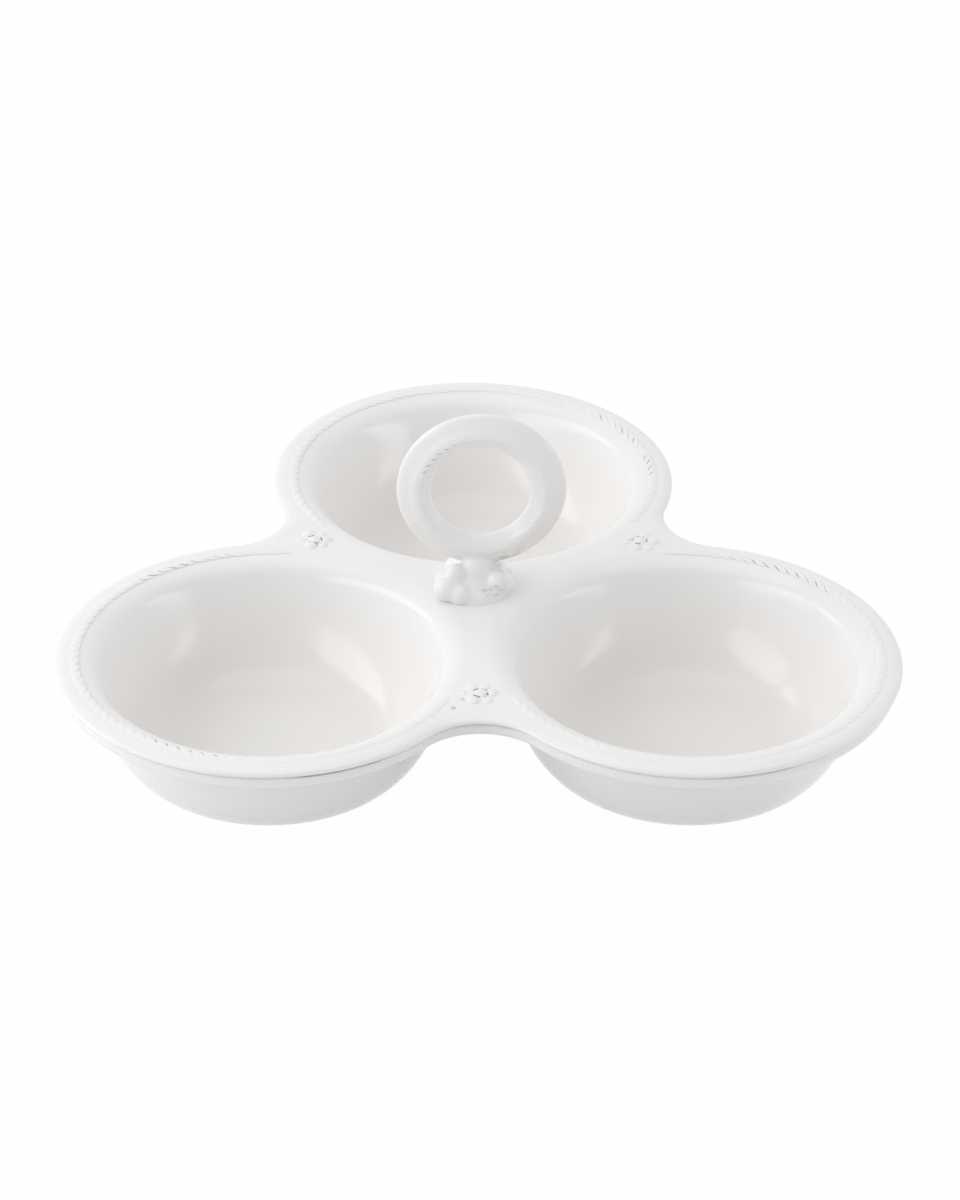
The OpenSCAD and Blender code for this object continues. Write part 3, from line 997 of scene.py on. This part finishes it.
def softbox(name, azimuth, rise, distance, width, height, radiance):
    """An oval lamp in a direction seen from the dish, facing it. Azimuth 0 is behind, 90 is right."""
    a = math.radians(azimuth)
    e = math.radians(rise)
    way = Vector((math.sin(a) * math.cos(e), math.cos(a) * math.cos(e), math.sin(e)))
    lamp = bpy.data.lights.new(name, "AREA")
    lamp.shape = "ELLIPSE"
    lamp.size = width
    lamp.size_y = height
    lamp.energy = radiance * math.pi * (width * height * math.pi / 4)
    lamp.color = LAMP_COLOUR
    holder = bpy.data.objects.new(name, lamp)
    bpy.context.scene.collection.objects.link(holder)
    holder.location = AIM + way * distance
    holder.rotation_euler = (-way).to_track_quat("-Z", "Y").to_euler()


def add_up(tree, parts, clamp=False):
    """The sum of some outputs."""
    total = parts[0]
    for part in parts[1:]:
        joined = tree.nodes.new("ShaderNodeMath")
        joined.operation = "ADD"
        joined.use_clamp = clamp
        tree.links.new(total, joined.inputs[0])
        tree.links.new(part, joined.inputs[1])
        total = joined.outputs[0]
    return total


def rays_that_see_white(tree):
    """1 for camera, glossy and transmission rays."""
    path = tree.nodes.new("ShaderNodeLightPath")
    kinds = ("Is Camera Ray", "Is Glossy Ray", "Is Transmission Ray")
    return add_up(tree, [path.outputs[kind] for kind in kinds], clamp=True)


def light_by_side(tree):
    """Strength of the soft light from the way that a ray goes, each side adding its part."""
    way = tree.nodes.new("ShaderNodeTexCoord").outputs["Generated"]
    parts = []
    for side in SIDE_LIGHT:
        facing = tree.nodes.new("ShaderNodeVectorMath")
        facing.operation = "DOT_PRODUCT"
        facing.inputs[1].default_value = side
        tree.links.new(way, facing.inputs[0])
        part = tree.nodes.new("ShaderNodeMath")
        part.operation = "MAXIMUM"
        part.inputs[1].default_value = 0
        tree.links.new(facing.outputs["Value"], part.inputs[0])
        parts.append(part.outputs[0])
    return add_up(tree, parts)


def light_room():
    """A white room whose light differs by side, a wide key lamp at the left and two fill lamps."""
    world = bpy.data.worlds.new("studio")
    bpy.context.scene.world = world
    world.use_nodes = True
    tree = world.node_tree
    tree.nodes.clear()
    seen = tree.nodes.new("ShaderNodeBackground")
    seen.inputs["Strength"].default_value = 1.0
    lit = tree.nodes.new("ShaderNodeBackground")
    lit.inputs["Color"].default_value = (*ROOM_COLOUR, 1)
    tree.links.new(light_by_side(tree), lit.inputs["Strength"])
    choice = tree.nodes.new("ShaderNodeMixShader")
    out = tree.nodes.new("ShaderNodeOutputWorld")
    tree.links.new(rays_that_see_white(tree), choice.inputs[0])
    tree.links.new(lit.outputs[0], choice.inputs[1])
    tree.links.new(seen.outputs[0], choice.inputs[2])
    tree.links.new(choice.outputs[0], out.inputs[0])
    softbox(
        "left_softbox", azimuth=-101, rise=29, distance=1.2, width=2.10, height=0.58, radiance=1.85)
    softbox(
        "right_softbox", azimuth=109, rise=15, distance=1.2, width=0.80, height=0.18, radiance=2.3)
    softbox(
        "top_softbox", azimuth=0, rise=90, distance=1.7, width=1.8, height=1.8, radiance=0.62)


def lay_floor():
    """A matte white floor. The camera sees it nearly plain white, and light meets its own colour."""
    lay_down()
    bpy.ops.mesh.primitive_plane_add(size=8, location=(0, 0, 0))
    floor = bpy.context.object
    floor.name = "floor"
    material = bpy.data.materials.new("white_floor")
    material.use_nodes = True
    tree = material.node_tree
    paint = tree.nodes["Principled BSDF"]
    paint.inputs["Base Color"].default_value = (*FLOOR_COLOUR, 1)
    paint.inputs["Roughness"].default_value = 0.9
    paint.inputs["Specular IOR Level"].default_value = 0.0
    glow = tree.nodes.new("ShaderNodeEmission")
    glow.inputs["Strength"].default_value = 1.0
    share = tree.nodes.new("ShaderNodeMath")
    share.operation = "MULTIPLY"
    share.inputs[1].default_value = FLOOR_WHITE
    choice = tree.nodes.new("ShaderNodeMixShader")
    tree.links.new(rays_that_see_white(tree), share.inputs[0])
    tree.links.new(share.outputs[0], choice.inputs[0])
    tree.links.new(paint.outputs[0], choice.inputs[1])
    tree.links.new(glow.outputs[0], choice.inputs[2])
    tree.links.new(choice.outputs[0], tree.nodes["Material Output"].inputs[0])
    floor.data.materials.append(material)


place_camera()
light_room()
lay_floor()
bpy.context.scene.view_settings.view_transform = "Standard"
lay_down()
